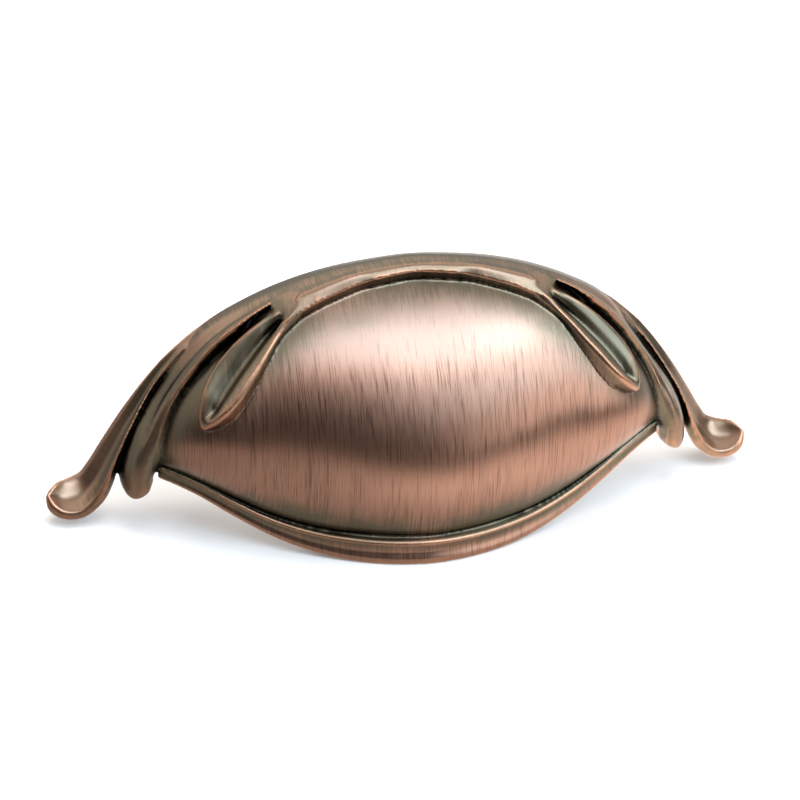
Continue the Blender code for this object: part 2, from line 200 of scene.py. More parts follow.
def bothHalves(shares):
    return np.concatenate([-np.array(shares)[:0:-1], shares])


def closerToEnd(count):
    # shares of a strand whose rings stand closer towards its end
    return 1 - (1 - np.linspace(0, 1, count)) ** 1.3


def place(point):
    return Vector((point[0], casting["reach"] / 2 - point[1], point[2])) * mm


def roundedEnd(rings, shares, start, fullness=2.0):
    for ring, share in zip(rings, shares):
        if abs(share) > start:
            t = (abs(share) - start) / (shares[-1] - start)
            size = (1 - (0.985 * t) ** fullness) ** (1 / fullness)
            centre = ring.mean(axis=0)
            ring[:] = centre + (ring - centre) * size
    return rings


def loft(name, rings):
    work = bmesh.new()
    rows = [[work.verts.new(place(point)) for point in ring] for ring in rings]
    count = len(rows[0])
    for row, following in zip(rows, rows[1:]):
        for i in range(count):
            j = (i + 1) % count
            work.faces.new((row[i], row[j], following[j], following[i]))
    for end in (rows[0], rows[-1]):
        work.faces.new(end)
    bmesh.ops.triangulate(work, faces=work.faces[:])
    bmesh.ops.recalc_face_normals(work, faces=work.faces[:])
    mesh = bpy.data.meshes.new(name)
    work.to_mesh(mesh)
    work.free()
    obj = bpy.data.objects.new(name, mesh)
    bpy.context.scene.collection.objects.link(obj)
    return obj


def cupGrid(shares, across):
    # each row of the dome is a Bezier curve from the band down to the crease
    top, shoulder = guide("cupTop"), guide("cupShoulder")
    belly, crease = guide("cupBelly"), guide("cupCrease")
    rows = []
    for share in shares:
        a, b, c, d = top(share), shoulder(share), belly(share), crease(share)
        row = []
        for t in np.linspace(0, 1, across):
            row.append((1 - t) ** 3 * a + 3 * t * (1 - t) ** 2 * b + 3 * t * t * (1 - t) * c + t ** 3 * d)
        rows.append(row)
    return np.array(rows)


def inset(grid, distance):
    normals = np.cross(np.gradient(grid, axis=0), np.gradient(grid, axis=1))
    normals /= np.linalg.norm(normals, axis=2, keepdims=True)
    outward = np.sign(normals[:, grid.shape[1] // 2, 1].mean())
    return grid - outward * distance * normals


def makeCup(name, skin, last):
    rings = []
    for row in inset(cupGrid(bothHalves(np.linspace(0, last, 80)), 64), skin):
        rings.append(np.array([*row, behind(row[-1]), behind(row[0])]))
    return loft(name, rings)


def makeHollow():
    shares = bothHalves(np.linspace(0, casting["hollowShare"], 60))
    lipEdge = guide("lipEdge")
    rings = []
    for share, row in zip(shares, inset(cupGrid(shares, 48), casting["cupWall"])):
        edge = lipEdge(share)
        innerEdge = np.array([row[-1][0], max(edge[1] - casting["lipWall"], 1.0), edge[2]])
        below = np.array([row[-1][0], innerEdge[1], -3.0])
        wellBehind = [behind(below) * (1, 2, 1), behind(row[0]) * (1, 2, 1)]
        rings.append(np.array([*row, innerEdge, below, *wellBehind]))
    return loft("hollow", rings)


# The band's thickness and fullness. A pair is the stretch over which a change comes, as shares
# of the band's length or, for the leaf, as distances from the middle
band = {
    "wall": 3.4,
    "undercut": 1.0,
    "fullness": 0.3,
    "lobeFullness": 0.8,
    "bulge": 0.35,
    "partedBulge": -0.1,
    "rounding": 0.45,
    "leafRounding": 0.8,
    "leafJoins": (7, 12),
    "leafLeaves": (22.5, 26.5),
    "footParts": (0.54, 0.64),
    "lobeSwells": (0.7, 0.85),
    "lobeRises": (0.72, 1.0),
    "lobeStandsFree": (0.86, 0.96),
    "lobeWall": 0.9,
    "lobeUndercut": 2.6,
    "lobeBack": 4.5,
    "closeRingsFrom": 0.955,
    "roundedFrom": 0.96,
    "roundness": 2.6,
}


def mixed(first, second, share):
    return first * (1 - share) + second * share


def makeBand():
    outerCurve, crestCurve, innerCurve = guide("backEdge"), guide("crest"), guide("innerEdge")
    leafRidge = byLength("leafInner")
    close = band["closeRingsFrom"]
    endShares = 1 - (1 - close) * np.linspace(0.97, 0, 26) ** 1.5
    shares = bothHalves(np.concatenate([np.linspace(0, close, 190), endShares]))
    rings = []
    for share in shares:
        outer, crest, inner = outerCurve(share), crestCurve(share), innerCurve(share)
        # the band's face runs on to the leaf's ridge, until the valley parts the two
        x = abs(inner[0])
        joined = ease(x, *band["leafJoins"]) * (1 - ease(x, *band["leafLeaves"]))
        ridge = leafRidge(x) * (math.copysign(1, inner[0]), 1, 1)
        inner = inner + joined * (ridge - inner)
        inward = inwardFrom(direction(innerCurve, share))
        atLobe = ease(abs(share), *band["lobeSwells"])
        parted = ease(abs(share), *band["footParts"]) * (1 - atLobe)
        bulge = mixed(band["bulge"], band["partedBulge"], parted)
        full = mixed(band["fullness"], band["lobeFullness"], atLobe)
        shoulder = (outer + crest) / 2 - inward * bulge + forward * full
        span = inner - crest
        rounding = mixed(band["rounding"], band["leafRounding"], joined)
        brow = (crest + inner) / 2 + rounding * unit(forward * (span @ inward) - inward * span[1])
        face = splinePoints([outer, shoulder, crest, brow, inner], 33)
        # the lobe comes off the drawer front and ends free
        risen = ease(abs(share), *band["lobeRises"])
        back = mixed(-casting["behind"], band["lobeBack"], risen)
        root = inner + inward * band["wall"] - forward * band["undercut"]
        lobeRoot = inner + inward * band["lobeWall"] - forward * band["lobeUndercut"]
        root = mixed(root, lobeRoot, ease(abs(share), *band["lobeStandsFree"]))
        inside = np.array([root[0], back, root[2]])
        outside = np.array([outer[0], back, outer[2]])
        rings.append(np.array([outside, *face, root, inside]))
    return loft("band", roundedEnd(rings, shares, band["roundedFrom"], band["roundness"]))


# The foot's strand, with stretches by share of its length. Each row of turn is a point round
# its ridge: depth as a share of the thickness and forward, where it lies on the band and what
# is added where it stands free
foot = {
    "thickness": 2.3,
    "cove": 0.7,
    "coveDeepens": (0.2, 0.5),
    "toeShallows": (0.93, 1.0),
    "toeShallowing": 0.5,
    "rim": 0.12,
    "turn": [(0.13, 0.12, -0.1, 0.4), (0.35, 0.25, -1.0, 1.2), (0.8, 0.2, -2.2, 1.2)],
    "standsFree": (0.62, 0.8),
    "curlsOut": (0.8, 0.93),
    "curlBack": 0.6,
    "roundedFrom": 0.91,
}


def makeFoot():
    backCurve, ridgeCurve = guide("footBack", False), guide("footRidge", False)
    shares = closerToEnd(190)
    rings = []
    for share in shares:
        back, ridge = backCurve(share), ridgeCurve(share)
        inward = inwardFrom(direction(ridgeCurve, min(share, 0.95)))
        shallowed = foot["toeShallowing"] * ease(share, *foot["toeShallows"])
        deepened = ease(share, *foot["coveDeepens"]) * (1 - shallowed)
        rim = back + foot["rim"] * (ridge - back) - inward * foot["rim"]
        cove = (back + ridge) / 2 + inward * foot["cove"] * deepened
        face = splinePoints([back, rim, cove, ridge], 25)
        free = ease(share, *foot["standsFree"])
        turn = [ridge]
        for depth, freeDepth, ahead, freeAhead in foot["turn"]:
            deep = (depth + freeDepth * free) * foot["thickness"]
            turn.append(ridge + inward * deep + forward * (ahead + freeAhead * free))
        heel = back + inward * foot["thickness"]
        curled = ease(share, *foot["curlsOut"])
        behindBack = mixed(behind(back), back + inward * foot["curlBack"], curled)
        behindHeel = mixed(behind(heel), heel, curled)
        rings.append(np.array([behindBack, *face, *splinePoints(turn, 14)[1:], behindHeel]))
    return loft("foot", roundedEnd(rings, shares, foot["roundedFrom"]))


# The leaf's sizes, with stretches by share of its length from the band to the tip. A side is how
# far it goes past its ridge and down from it, and the inner root is first that of the start,
# which lies inside the band
leaf = {
    "height": 3.2,
    "groove": 1.6,
    "grooveDeepens": (0.35, 0.5),
    "grooveEnds": (0.88, 0.965),
    "crown": 0.3,
    "rise": 0.2,
    "riseComes": (0.27, 0.34),
    "riseGoes": (0.34, 0.5),
    "leavesBand": (0.27, 0.4),
    "innerSink": 0.35,
    "innerNarrowing": 0.25,
    "outerSink": 0.3,
    "innerSide": (0.35, 0.6),
    "outerSide": (0.45, 0.5),
    "innerRoot": (-0.6, 0.5),
    "outerRoot": 0.7,
}


def makeLeaf():
    innerCurve, outerCurve = guide("leafInner", False), guide("leafOuter", False)
    innerOver, innerDrop = leaf["innerSide"]
    outerOver, outerDrop = leaf["outerSide"]
    rings = []
    for share in closerToEnd(170):
        inner, outer = innerCurve(share), outerCurve(share)
        width = np.linalg.norm(inner - outer)
        chord = (inner - outer) / width
        out = outwardFrom(chord, direction(innerCurve, min(share, 0.9)))
        # at its start the leaf lies just inside the band
        free = ease(share, *leaf["leavesBand"])
        inner = inner - (leaf["innerSink"] * out + leaf["innerNarrowing"] * chord) * (1 - free)
        outer = outer - leaf["outerSink"] * out * (1 - free)
        depth = leaf["groove"] * ease(share, *leaf["grooveDeepens"]) * (1 - ease(share, *leaf["grooveEnds"]))
        groove = outer + 0.5 * (inner - outer) - out * depth
        rise = leaf["rise"] * width * ease(share, *leaf["riseComes"]) * (1 - ease(share, *leaf["riseGoes"]))
        crown = leaf["crown"] * depth + rise
        outerSlope = (outer + groove) / 2 + out * crown
        innerSlope = (inner + groove) / 2 + out * crown
        outerSide = outer - chord * outerOver - out * outerDrop
        innerSide = inner + chord * innerOver * free - out * innerDrop
        face = splinePoints([outerSide, outer, outerSlope, groove, innerSlope, inner, innerSide], 44)
        outerRoot = outer - chord * leaf["outerRoot"] - out * leaf["height"]
        innerRoot = inner + chord * mixed(*leaf["innerRoot"], free) - out * leaf["height"]
        rings.append(np.array([outerRoot, *face, innerRoot]))
    return loft("leaf", rings)


# The valley between leaf and band. A half is how far it goes past its edges on either side, and
# over is how far its sides are carried on, as a share of their height. Before its start it
# runs out over the band to a tip
valley = {
    "depth": 1.8,
    "half": 0.1,
    "over": 0.6,
    "deepens": (-0.05, 0.3),
    "shallows": (0.45, 1.0),
    "shallowing": 0.75,
    "startDepth": 1.6,
    "startHalf": 0.26,
    "startLift": 0.6,
    "startFades": (0.1, 0.5),
    "endLift": 1.2,
    "endLifts": (0.8, 1.0),
    "runOut": 3.0,
    "tipDepth": 0.1,
    "tipHalf": 0.03,
}


def wedgeRing(upper, lower, floor):
    # the floor and the tops of the two sides, which end over the metal
    over = valley["over"]
    return np.array([floor, upper + over * (upper - floor), lower + over * (lower - floor)])


def makeValley():
    upperCurve, lowerCurve = guide("valleyUpper", False), guide("valleyLower", False)
    rings = []
    # the run out over the band, narrower and shallower towards its tip
    chord = unit(upperCurve(0.2) - lowerCurve(0.2))
    heading = direction(lowerCurve, 0.02)
    out = outwardFrom(chord, heading)
    start = (upperCurve(0) + lowerCurve(0)) / 2
    for grown in np.linspace(0, 1, 12)[:-1]:
        middle = start - valley["runOut"] * (1 - grown) * heading
        half = chord * mixed(valley["tipHalf"], valley["startHalf"], grown)
        floor = middle - out * (valley["tipDepth"] + valley["startDepth"] * grown)
        rings.append(wedgeRing(middle + half, middle - half, floor) + valley["startLift"] * out)
    for share in np.linspace(0, 1, 70):
        upper, lower = upperCurve(share), lowerCurve(share)
        apart = max(share, 0.2)  # the two edges meet at the start
        chord = unit(upperCurve(apart) - lowerCurve(apart))
        out = outwardFrom(chord, direction(lowerCurve, share))
        early = 1 - ease(share, *valley["startFades"])
        shallowed = valley["shallowing"] * ease(share, *valley["shallows"])
        deepened = ease(share, *valley["deepens"]) * (1 - shallowed)
        floor = (upper + lower) / 2 - out * (valley["depth"] * deepened + valley["startDepth"] * early)
        half = chord * mixed(valley["half"], valley["startHalf"], early)
        lift = valley["startLift"] * early + valley["endLift"] * ease(share, *valley["endLifts"])
        rings.append(wedgeRing(upper + half, lower - half, floor) + out * lift)
    return loft("valley", rings)


# Each point of the lip's section: the share of the way down from the crease to the lip's edge,
# and how far it stands out there, as a share of that way. The roots lie inside the cup's wall
lip = {
    "section": [
        (-0.05, -0.1), (0, 0.13), (0.04, 0.23), (0.125, 0.27), (0.25, 0.21), (0.375, 0.13),
        (0.54, 0.1), (0.73, 0.12), (0.875, 0.09), (0.97, 0.02), (1, -0.12), (1, -0.3),
    ],
    "last": 0.985,
    "lowerRoot": 4.0,
    "upperRoot": 3.0,
    "upperRootRise": 1.5,
}


def makeLip():
    creaseCurve, edgeCurve = guide("cupCrease"), guide("lipEdge")
    upward = np.array([0.0, 0.0, 1.0])
    rings = []
    for share in bothHalves(np.linspace(0, lip["last"], 110)):
        crease, edge = creaseCurve(share), edgeCurve(share)
        size = np.linalg.norm(edge - crease)
        out = outwardFrom(upward, direction(creaseCurve, share))
        knots = [crease + down * (edge - crease) + stand * size * out for down, stand in lip["section"]]
        lowerRoot = edge - out * lip["lowerRoot"]
        upperRoot = crease - out * lip["upperRoot"] + upward * lip["upperRootRise"]
        rings.append(np.array([*splinePoints(knots, 44), lowerRoot, upperRoot]))
    return loft("lip", rings)


def mirrorCopy(obj):
    copy = obj.copy()
    copy.data = obj.data.copy()
    copy.data.transform(Matrix.Scale(-1, 4, (1, 0, 0)))
    copy.data.flip_normals()
    bpy.context.scene.collection.objects.link(copy)
    return copy


boss = {
    "centres": 76.2,
    "height": 21.5,
    "diameter": 8.4,
    "recess": 0.4,
    "holeDiameter": 3.4,
    "holeDepth": 11.0,
}


def makeRod(name, diameter, start, end):
    bpy.ops.mesh.primitive_cylinder_add(
        vertices=96, radius=diameter / 2 * mm, depth=(end - start) * mm,
        location=place((boss["centres"] / 2, (start + end) / 2, boss["height"])),
        rotation=(math.pi / 2, 0, 0),
    )
    bpy.ops.object.transform_apply()
    bpy.context.object.name = name
    return bpy.context.object


def makeBehindBox():
    # what this box takes off leaves the back flat, in the plane of the drawer front
    size = (0.18, 0.02, 0.1)
    location = place((0, -size[1] / 2 / mm, casting["height"] / 2))
    bpy.ops.mesh.primitive_cube_add(size=1, location=location)
    bpy.context.object.scale = size
    bpy.ops.object.transform_apply()
    return bpy.context.object


def boolean(target, other, operation):
    modifier = target.modifiers.new(other.name, "BOOLEAN")
    modifier.operation = operation
    modifier.solver = "MANIFOLD"
    modifier.object = other


def settled(obj, name):
    # the evaluated mesh as a plain object of its own
    view = bpy.context.evaluated_depsgraph_get()
    mesh = bpy.data.meshes.new_from_object(obj.evaluated_get(view))
    mesh.name = name
    new = bpy.data.objects.new(name, mesh)
    bpy.context.scene.collection.objects.link(new)
    return new


def vertexArray(mesh, key):
    values = np.empty(len(mesh.vertices) * 3)
    mesh.vertices.foreach_get(key, values)
    return values.reshape(-1, 3)


def averager(mesh):
    edges = np.empty(len(mesh.edges) * 2, int)
    mesh.edges.foreach_get("vertices", edges)
    a, b = edges.reshape(-1, 2).T
    count = len(mesh.vertices)
    degree = np.bincount(a, minlength=count) + np.bincount(b, minlength=count)

    def average(values):
        # half of each vertex's own value and half of its neighbours' mean
        total = np.zeros_like(values)
        for i in range(values.shape[1]):
            total[:, i] += np.bincount(a, values[b, i], count)
            total[:, i] += np.bincount(b, values[a, i], count)
        return 0.5 * values + 0.5 * total / degree[:, None]

    return average


def foldedRight(points):
    # the left half's points laid over the right half
    folded = points.copy()
    folded[:, 0] = np.abs(folded[:, 0])
    return folded


# The stretch on each half where the leaf parts from the band, smoothed once more: its ends, how
# far round it the smoothing reaches, and its rounds
parting = {"start": (19.5, 8.8, 45.3), "end": (24.8, 9.8, 43.0), "reach": 1.15, "rounds": 40}


def softenParting(mesh):
    average = averager(mesh)
    points = vertexArray(mesh, "co")
    start, end = np.array(place(parting["start"])), np.array(place(parting["end"]))
    span = end - start
    right = foldedRight(points)
    along = np.clip((right - start) @ span / (span @ span), 0, 1)
    away = np.linalg.norm(right - start - along[:, None] * span, axis=1) / mm
    share = np.clip(2 - 2 * away / parting["reach"], 0, 1)[:, None]
    for step in range(parting["rounds"]):
        points = points + share * (average(points) - points)
    mesh.vertices.foreach_set("co", points.ravel())
    mesh.update()


def joinForms():
    rough = makeCup("cup", 0.0, 1.0)
    helpers = [rough]

    def use(form, operation, onBothHalves=False):
        forms = [form, mirrorCopy(form)] if onBothHalves else [form]
        for each in forms:
            boolean(rough, each, operation)
        helpers.extend(forms)

    use(makeBand(), "UNION")
    use(makeLip(), "UNION")
    use(makeLeaf(), "UNION", True)
    use(makeFoot(), "UNION", True)
    use(makeValley(), "DIFFERENCE", True)
    use(makeHollow(), "DIFFERENCE")
    # each post ends inside the cup's wall
    post = makeRod("post", boss["diameter"], boss["recess"], casting["reach"])
    limit = makeCup("limit", 0.6 * casting["cupWall"], casting["hollowShare"])
    boolean(post, limit, "INTERSECT")
    helpers.append(limit)
    use(post, "UNION", True)
    use(makeRod("hole", boss["holeDiameter"], -1.0, boss["holeDepth"]), "DIFFERENCE", True)
    use(makeBehindBox(), "DIFFERENCE")
    joined = settled(rough, "joined")
    for obj in helpers:
        bpy.data.objects.remove(obj)
    print("forms joined,", len(joined.data.polygons), "faces")
    return joined


def makeCasting():
    joined = joinForms()
    remesh = joined.modifiers.new("remesh", "REMESH")
    remesh.mode = "VOXEL"
    remesh.voxel_size = casting["voxel"] * mm
    smooth = joined.modifiers.new("smooth", "SMOOTH")
    smooth.factor = 0.5
    smooth.iterations = casting["smoothing"]
    fine = settled(joined, "fine")
    bpy.data.objects.remove(joined)
    count = sum(len(face.vertices) - 2 for face in fine.data.polygons)
    decimate = fine.modifiers.new("decimate", "DECIMATE")
    decimate.ratio = min(casting["triangles"] / count, 1.0)
    decimate.use_collapse_triangulate = True
    pull = settled(fine, "cupPull")
    softenParting(pull.data)
    bpy.data.objects.remove(fine)
    print("casting softened,", count, "to", len(pull.data.polygons), "triangles")
    return pull


# What the finish is laid on by, read off the casting: rounds of smoothing, and lengths in millimetres
relief = {
    "edgeRounds": 14,
    "edgeDepth": 0.05,
    "shadeReach": 9.0,
    "shadeRays": 28,
    "shadeLift": 0.06,
    "spreadShadeRounds": 380,
    "beltReach": 0.07,
    "beltRim": 0.15,
    "beltRounds": 14,
}


def storeAttribute(mesh, name, values):
    kind = "FLOAT_VECTOR" if values.ndim == 2 else "FLOAT"
    attribute = mesh.attributes.new(name, kind, "POINT")
    key = "vector" if values.ndim == 2 else "value"
    attribute.data.foreach_set(key, values.astype(np.float32).ravel())


def treeOf(mesh):
    corners = vertexArray(mesh, "co").tolist()
    return BVHTree.FromPolygons(corners, [tuple(face.vertices) for face in mesh.polygons])


def readEdges(mesh):
    # how far each vertex stands out of the surface smoothed round it: edges positive, creases negative
    average = averager(mesh)
    points = vertexArray(mesh, "co") / mm
    smooth = points
    for step in range(relief["edgeRounds"]):
        smooth = average(smooth)
    values = np.einsum("ij,ij->i", points - smooth, vertexArray(mesh, "normal"))
    values = average(values[:, None])[:, 0] / relief["edgeDepth"]
    storeAttribute(mesh, "edge", np.clip(values, -3, 3))


def raysOver(normals, count):
    # ways spread evenly over the half sphere above each vertex, more of them near its normal
    turns = np.arange(count) * math.pi * (3 - math.sqrt(5))
    heights = np.sqrt((np.arange(count) + 0.5) / count)
    flat = np.sqrt(1 - heights ** 2)
    helper = np.where(np.abs(normals[:, :1]) < 0.8, [[1.0, 0, 0]], [[0, 1.0, 0]])
    side = np.cross(normals, helper)
    side /= np.linalg.norm(side, axis=1, keepdims=True)
    other = np.cross(normals, side)
    for x, y, z in zip(flat * np.cos(turns), flat * np.sin(turns), heights):
        yield side * x + other * y + normals * z


def readShade(mesh):
    # how much of the sky over each vertex is filled by metal close by
    average = averager(mesh)
    normals = vertexArray(mesh, "normal")
    starts = (vertexArray(mesh, "co") + normals * relief["shadeLift"] * mm).tolist()
    reach = relief["shadeReach"] * mm
    cast = treeOf(mesh).ray_cast
    shade = np.zeros(len(normals))
    for ways in raysOver(normals, relief["shadeRays"]):
        for i, (start, way) in enumerate(zip(starts, ways.tolist())):
            distance = cast(start, way, reach)[3]
            if distance is not None:
                shade[i] += 1 - distance / reach
    shade = average(average(shade[:, None] / relief["shadeRays"]))
    storeAttribute(mesh, "shade", shade[:, 0])
    # the shade is spread out of the recesses over the open metal beside them, for the painted shade there
    spreadShade = shade
    for step in range(relief["spreadShadeRounds"]):
        spreadShade = average(spreadShade)
    storeAttribute(mesh, "spreadShade", spreadShade[:, 0])


def readBelt(mesh):
    # the belt that brushes the dome and the lip misses the band, the leaves and the feet
    average = averager(mesh)
    points = vertexArray(mesh, "co").tolist()
    distance = np.full(len(points), 1.0)
    for form in (makeCup("dome", 0.0, 1.0), makeLip()):
        nearest = treeOf(form.data).find_nearest
        bpy.data.objects.remove(form)
        distance = np.minimum(distance, [nearest(point)[3] for point in points])
    belt = 1 - np.clip((distance / mm - relief["beltReach"]) / relief["beltRim"], 0, 1)[:, None]
    for step in range(relief["beltRounds"]):
        belt = average(belt)
    storeAttribute(mesh, "belt", belt[:, 0])


def guideLine(name):
    # points along a guide of the right half, in millimetres where the casting has it
    curve = guide(name, False)
    line = np.array([curve(share) for share in np.linspace(0, 1, 300)])
    line[:, 1] = casting["reach"] / 2 - line[:, 1]
    return line


def nearestIn(points):
    tree = KDTree(len(points))
    for i, point in enumerate(points):
        tree.insert(point, i)
    tree.balance()
    return lambda point: tree.find(point)[1]


def readGrain(mesh):
    # the way across the brush strokes, and the distance run that way: sideways on the cup, along
    # the strands on the band and the feet
    points = vertexArray(mesh, "co") / mm
    stroke = points[:, 0].copy()
    grain = np.tile([1.0, 0.0, 0.0], (len(points), 1))
    inner, crest, ridge = guideLine("innerEdge"), guideLine("crest"), guideLine("footRidge")
    ways, runs = [], []
    for line in (crest, ridge):
        way = np.gradient(line, axis=0)
        ways.extend(way / np.linalg.norm(way, axis=1, keepdims=True))
        steps = np.linalg.norm(np.diff(line, axis=0), axis=1)
        runs.extend(np.concatenate([[0], np.cumsum(steps)]) + line[0][0])
    innerWay = np.gradient(inner, axis=0)
    nearestInner = nearestIn(inner * (1, 0, 1))
    nearestStrand = nearestIn(np.concatenate([crest, ridge]))
    for i, point in enumerate(foldedRight(points)):
        j = nearestInner((point[0], 0, point[2]))
        off = point - inner[j]
        if innerWay[j][2] * off[0] < innerWay[j][0] * off[2]:  # outside the band's inner edge
            k = nearestStrand(point)
            half = math.copysign(1, points[i][0])
            stroke[i] = runs[k] * half
            grain[i] = ways[k] * (half, 1, 1)
    storeAttribute(mesh, "stroke", stroke)
    storeAttribute(mesh, "grain", grain)


pull = makeCasting()
readEdges(pull.data)
readShade(pull.data)
readBelt(pull.data)
readGrain(pull.data)
print("edges, recesses and grain read")


# Colours of the finish, from bare rubbed copper to the stain that stays in the recesses, with painted light
# laid in:
# a painted highlight on faces that look up, a greenish painted shade beside the recesses and on faces that
# look back, and painted shade that deepens the stain on faces that look down. A pair is the stretch over
# which one colour passes into the next, and the values after them are how far strokes, patches, edges and
# faces that look up or back shift such a stretch
finish = {
    "copper": (0.50, 0.262, 0.178, 1),
    "brown": (0.24, 0.126, 0.086, 1),
    "paintedHighlight": (0.52, 0.335, 0.25, 1),
    "rubbed": (0.62, 0.30, 0.175, 1),
    "greenishShade": (0.19, 0.153, 0.1, 1),
    "antique": (0.32, 0.205, 0.133, 1),
    "stainAndShade": (0.012, 0.011, 0.009, 1),
    "antiqueShare": 0.8,
    "strokeStretch": (1.0, 0.05, 0.03),
    "fineStrokes": 5200.0,
    "fineShare": 0.75,
    "broadStrokes": 1100.0,
    "clouds": 110.0,
    "facesUp": (0.6, 0.78),
    "facesBack": (-0.3, 0.35),
    "bare": (-0.24, 0.05),
    "paintedShade": (0.026, 0.115),
    "worn": (0.9, 2.5),
    "deep": (0.2, 0.46),
    "barePatches": 0.2,
    "paintedHighlightBare": 0.08,
    "spreadShadeLeast": 0.4,
    "spreadShadePatches": 1.2,
    "spreadShadeStrokes": 1.4,
    "shadeFacingBack": 0.14,
    "stainPatches": 0.08,
    "stainStrokes": 0.12,
    "stainEdges": 0.09,
    "shadeFacingDown": 0.14,
    "roughness": 0.33,
    "roughnessSwing": 0.07,
    "brushing": 0.55,
    "waver": 0.16,
    "strokeDepth": 0.2,
    "strokeStrength": 0.05,
}


def node(tree, kind, inputs=None, **settings):
    new = tree.nodes.new(kind)
    for key, value in settings.items():
        setattr(new, key, value)
    for key, value in (inputs or {}).items():
        if isinstance(value, bpy.types.NodeSocket):
            tree.links.new(value, new.inputs[key])
        else:
            new.inputs[key].default_value = value
    return new


def mathNode(tree, operation, *values):
    return node(tree, "ShaderNodeMath", dict(enumerate(values)), operation=operation).outputs[0]


def plus(tree, *values):
    return mathNode(tree, "ADD", *values)


def minus(tree, *values):
    return mathNode(tree, "SUBTRACT", *values)


def times(tree, *values):
    return mathNode(tree, "MULTIPLY", *values)


def vectorNode(tree, operation, inputs, output=0):
    return node(tree, "ShaderNodeVectorMath", inputs, operation=operation).outputs[output]


def component(tree, vector, i):
    return node(tree, "ShaderNodeSeparateXYZ", {0: vector}).outputs[i]


def ramp(tree, value, limits, ends, smooth=False):
    kind = "SMOOTHSTEP" if smooth else "LINEAR"
    inputs = {0: value, 1: limits[0], 2: limits[1], 3: ends[0], 4: ends[1]}
    return node(tree, "ShaderNodeMapRange", inputs, interpolation_type=kind).outputs[0]


def between(tree, value, limits):
    return ramp(tree, value, limits, (0.0, 1.0), smooth=True)


def mixColour(tree, factor, first, second):
    return node(tree, "ShaderNodeMix", {0: factor, 6: first, 7: second}, data_type="RGBA").outputs[2]


def attribute(tree, name, output="Fac"):
    return node(tree, "ShaderNodeAttribute", attribute_name=name).outputs[output]


def noise(tree, vector, scale, detail):
    return node(tree, "ShaderNodeTexNoise", {"Vector": vector, "Scale": scale, "Detail": detail}).outputs[0]


def makeStrokes(tree, coords):
    # noise drawn out along the brush's way, fine hairlines over broader streaks
    across = times(tree, attribute(tree, "stroke"), mm)
    line = node(tree, "ShaderNodeCombineXYZ", {
        0: across, 1: component(tree, coords, 1), 2: component(tree, coords, 2),
    }).outputs[0]
    stretched = vectorNode(tree, "MULTIPLY", {0: line, 1: finish["strokeStretch"]})
    fine = noise(tree, stretched, finish["fineStrokes"], 2.0)
    broad = noise(tree, stretched, finish["broadStrokes"], 3.0)
    share = finish["fineShare"]
    return plus(tree, times(tree, fine, share), times(tree, broad, 1 - share))


def makeCopperColour(tree, coords, normal, swing):
    cloud = noise(tree, coords, finish["clouds"], 3.0)
    patch = minus(tree, cloud, 0.5)
    up = component(tree, normal, 2)
    # the dark finish stays in some strokes, and the brush has taken it off others; faces that look up get a
    # painted highlight, paler and with fewer dark strokes
    onTop = between(tree, up, finish["facesUp"])
    bare = plus(tree, swing, times(tree, patch, finish["barePatches"]))
    bare = plus(tree, bare, times(tree, onTop, finish["paintedHighlightBare"]))
    copper = mixColour(tree, onTop, finish["copper"], finish["paintedHighlight"])
    colour = mixColour(tree, between(tree, bare, finish["bare"]), finish["brown"], copper)
    # where the belt doesn't pass the dark finish stays
    unbrushed = times(tree, minus(tree, 1.0, attribute(tree, "belt")), finish["antiqueShare"])
    colour = mixColour(tree, unbrushed, colour, finish["antique"])
    # a dull greenish painted shade lies beside the recesses and on what faces the drawer front
    uneven = minus(tree, times(tree, cloud, finish["spreadShadePatches"]), times(tree, swing, finish["spreadShadeStrokes"]))
    paintedShade = times(tree, attribute(tree, "spreadShade"), plus(tree, uneven, finish["spreadShadeLeast"]))
    backward = between(tree, minus(tree, component(tree, normal, 1), swing), finish["facesBack"])
    paintedShade = plus(tree, paintedShade, times(tree, backward, finish["shadeFacingBack"]))
    colour = mixColour(tree, between(tree, paintedShade, finish["paintedShade"]), colour, finish["greenishShade"])
    # edges are rubbed bright
    edge = attribute(tree, "edge")
    colour = mixColour(tree, between(tree, edge, finish["worn"]), colour, finish["rubbed"])
    # the dark antique stain is deepest in the grooves, and painted shade deepens it on what faces down into
    # them
    deep = plus(tree, attribute(tree, "shade"), times(tree, patch, finish["stainPatches"]))
    deep = minus(tree, deep, times(tree, swing, finish["stainStrokes"]))
    deep = minus(tree, deep, times(tree, edge, finish["stainEdges"]))
    deep = minus(tree, deep, times(tree, up, finish["shadeFacingDown"]))
    return mixColour(tree, between(tree, deep, finish["deep"]), colour, finish["stainAndShade"])


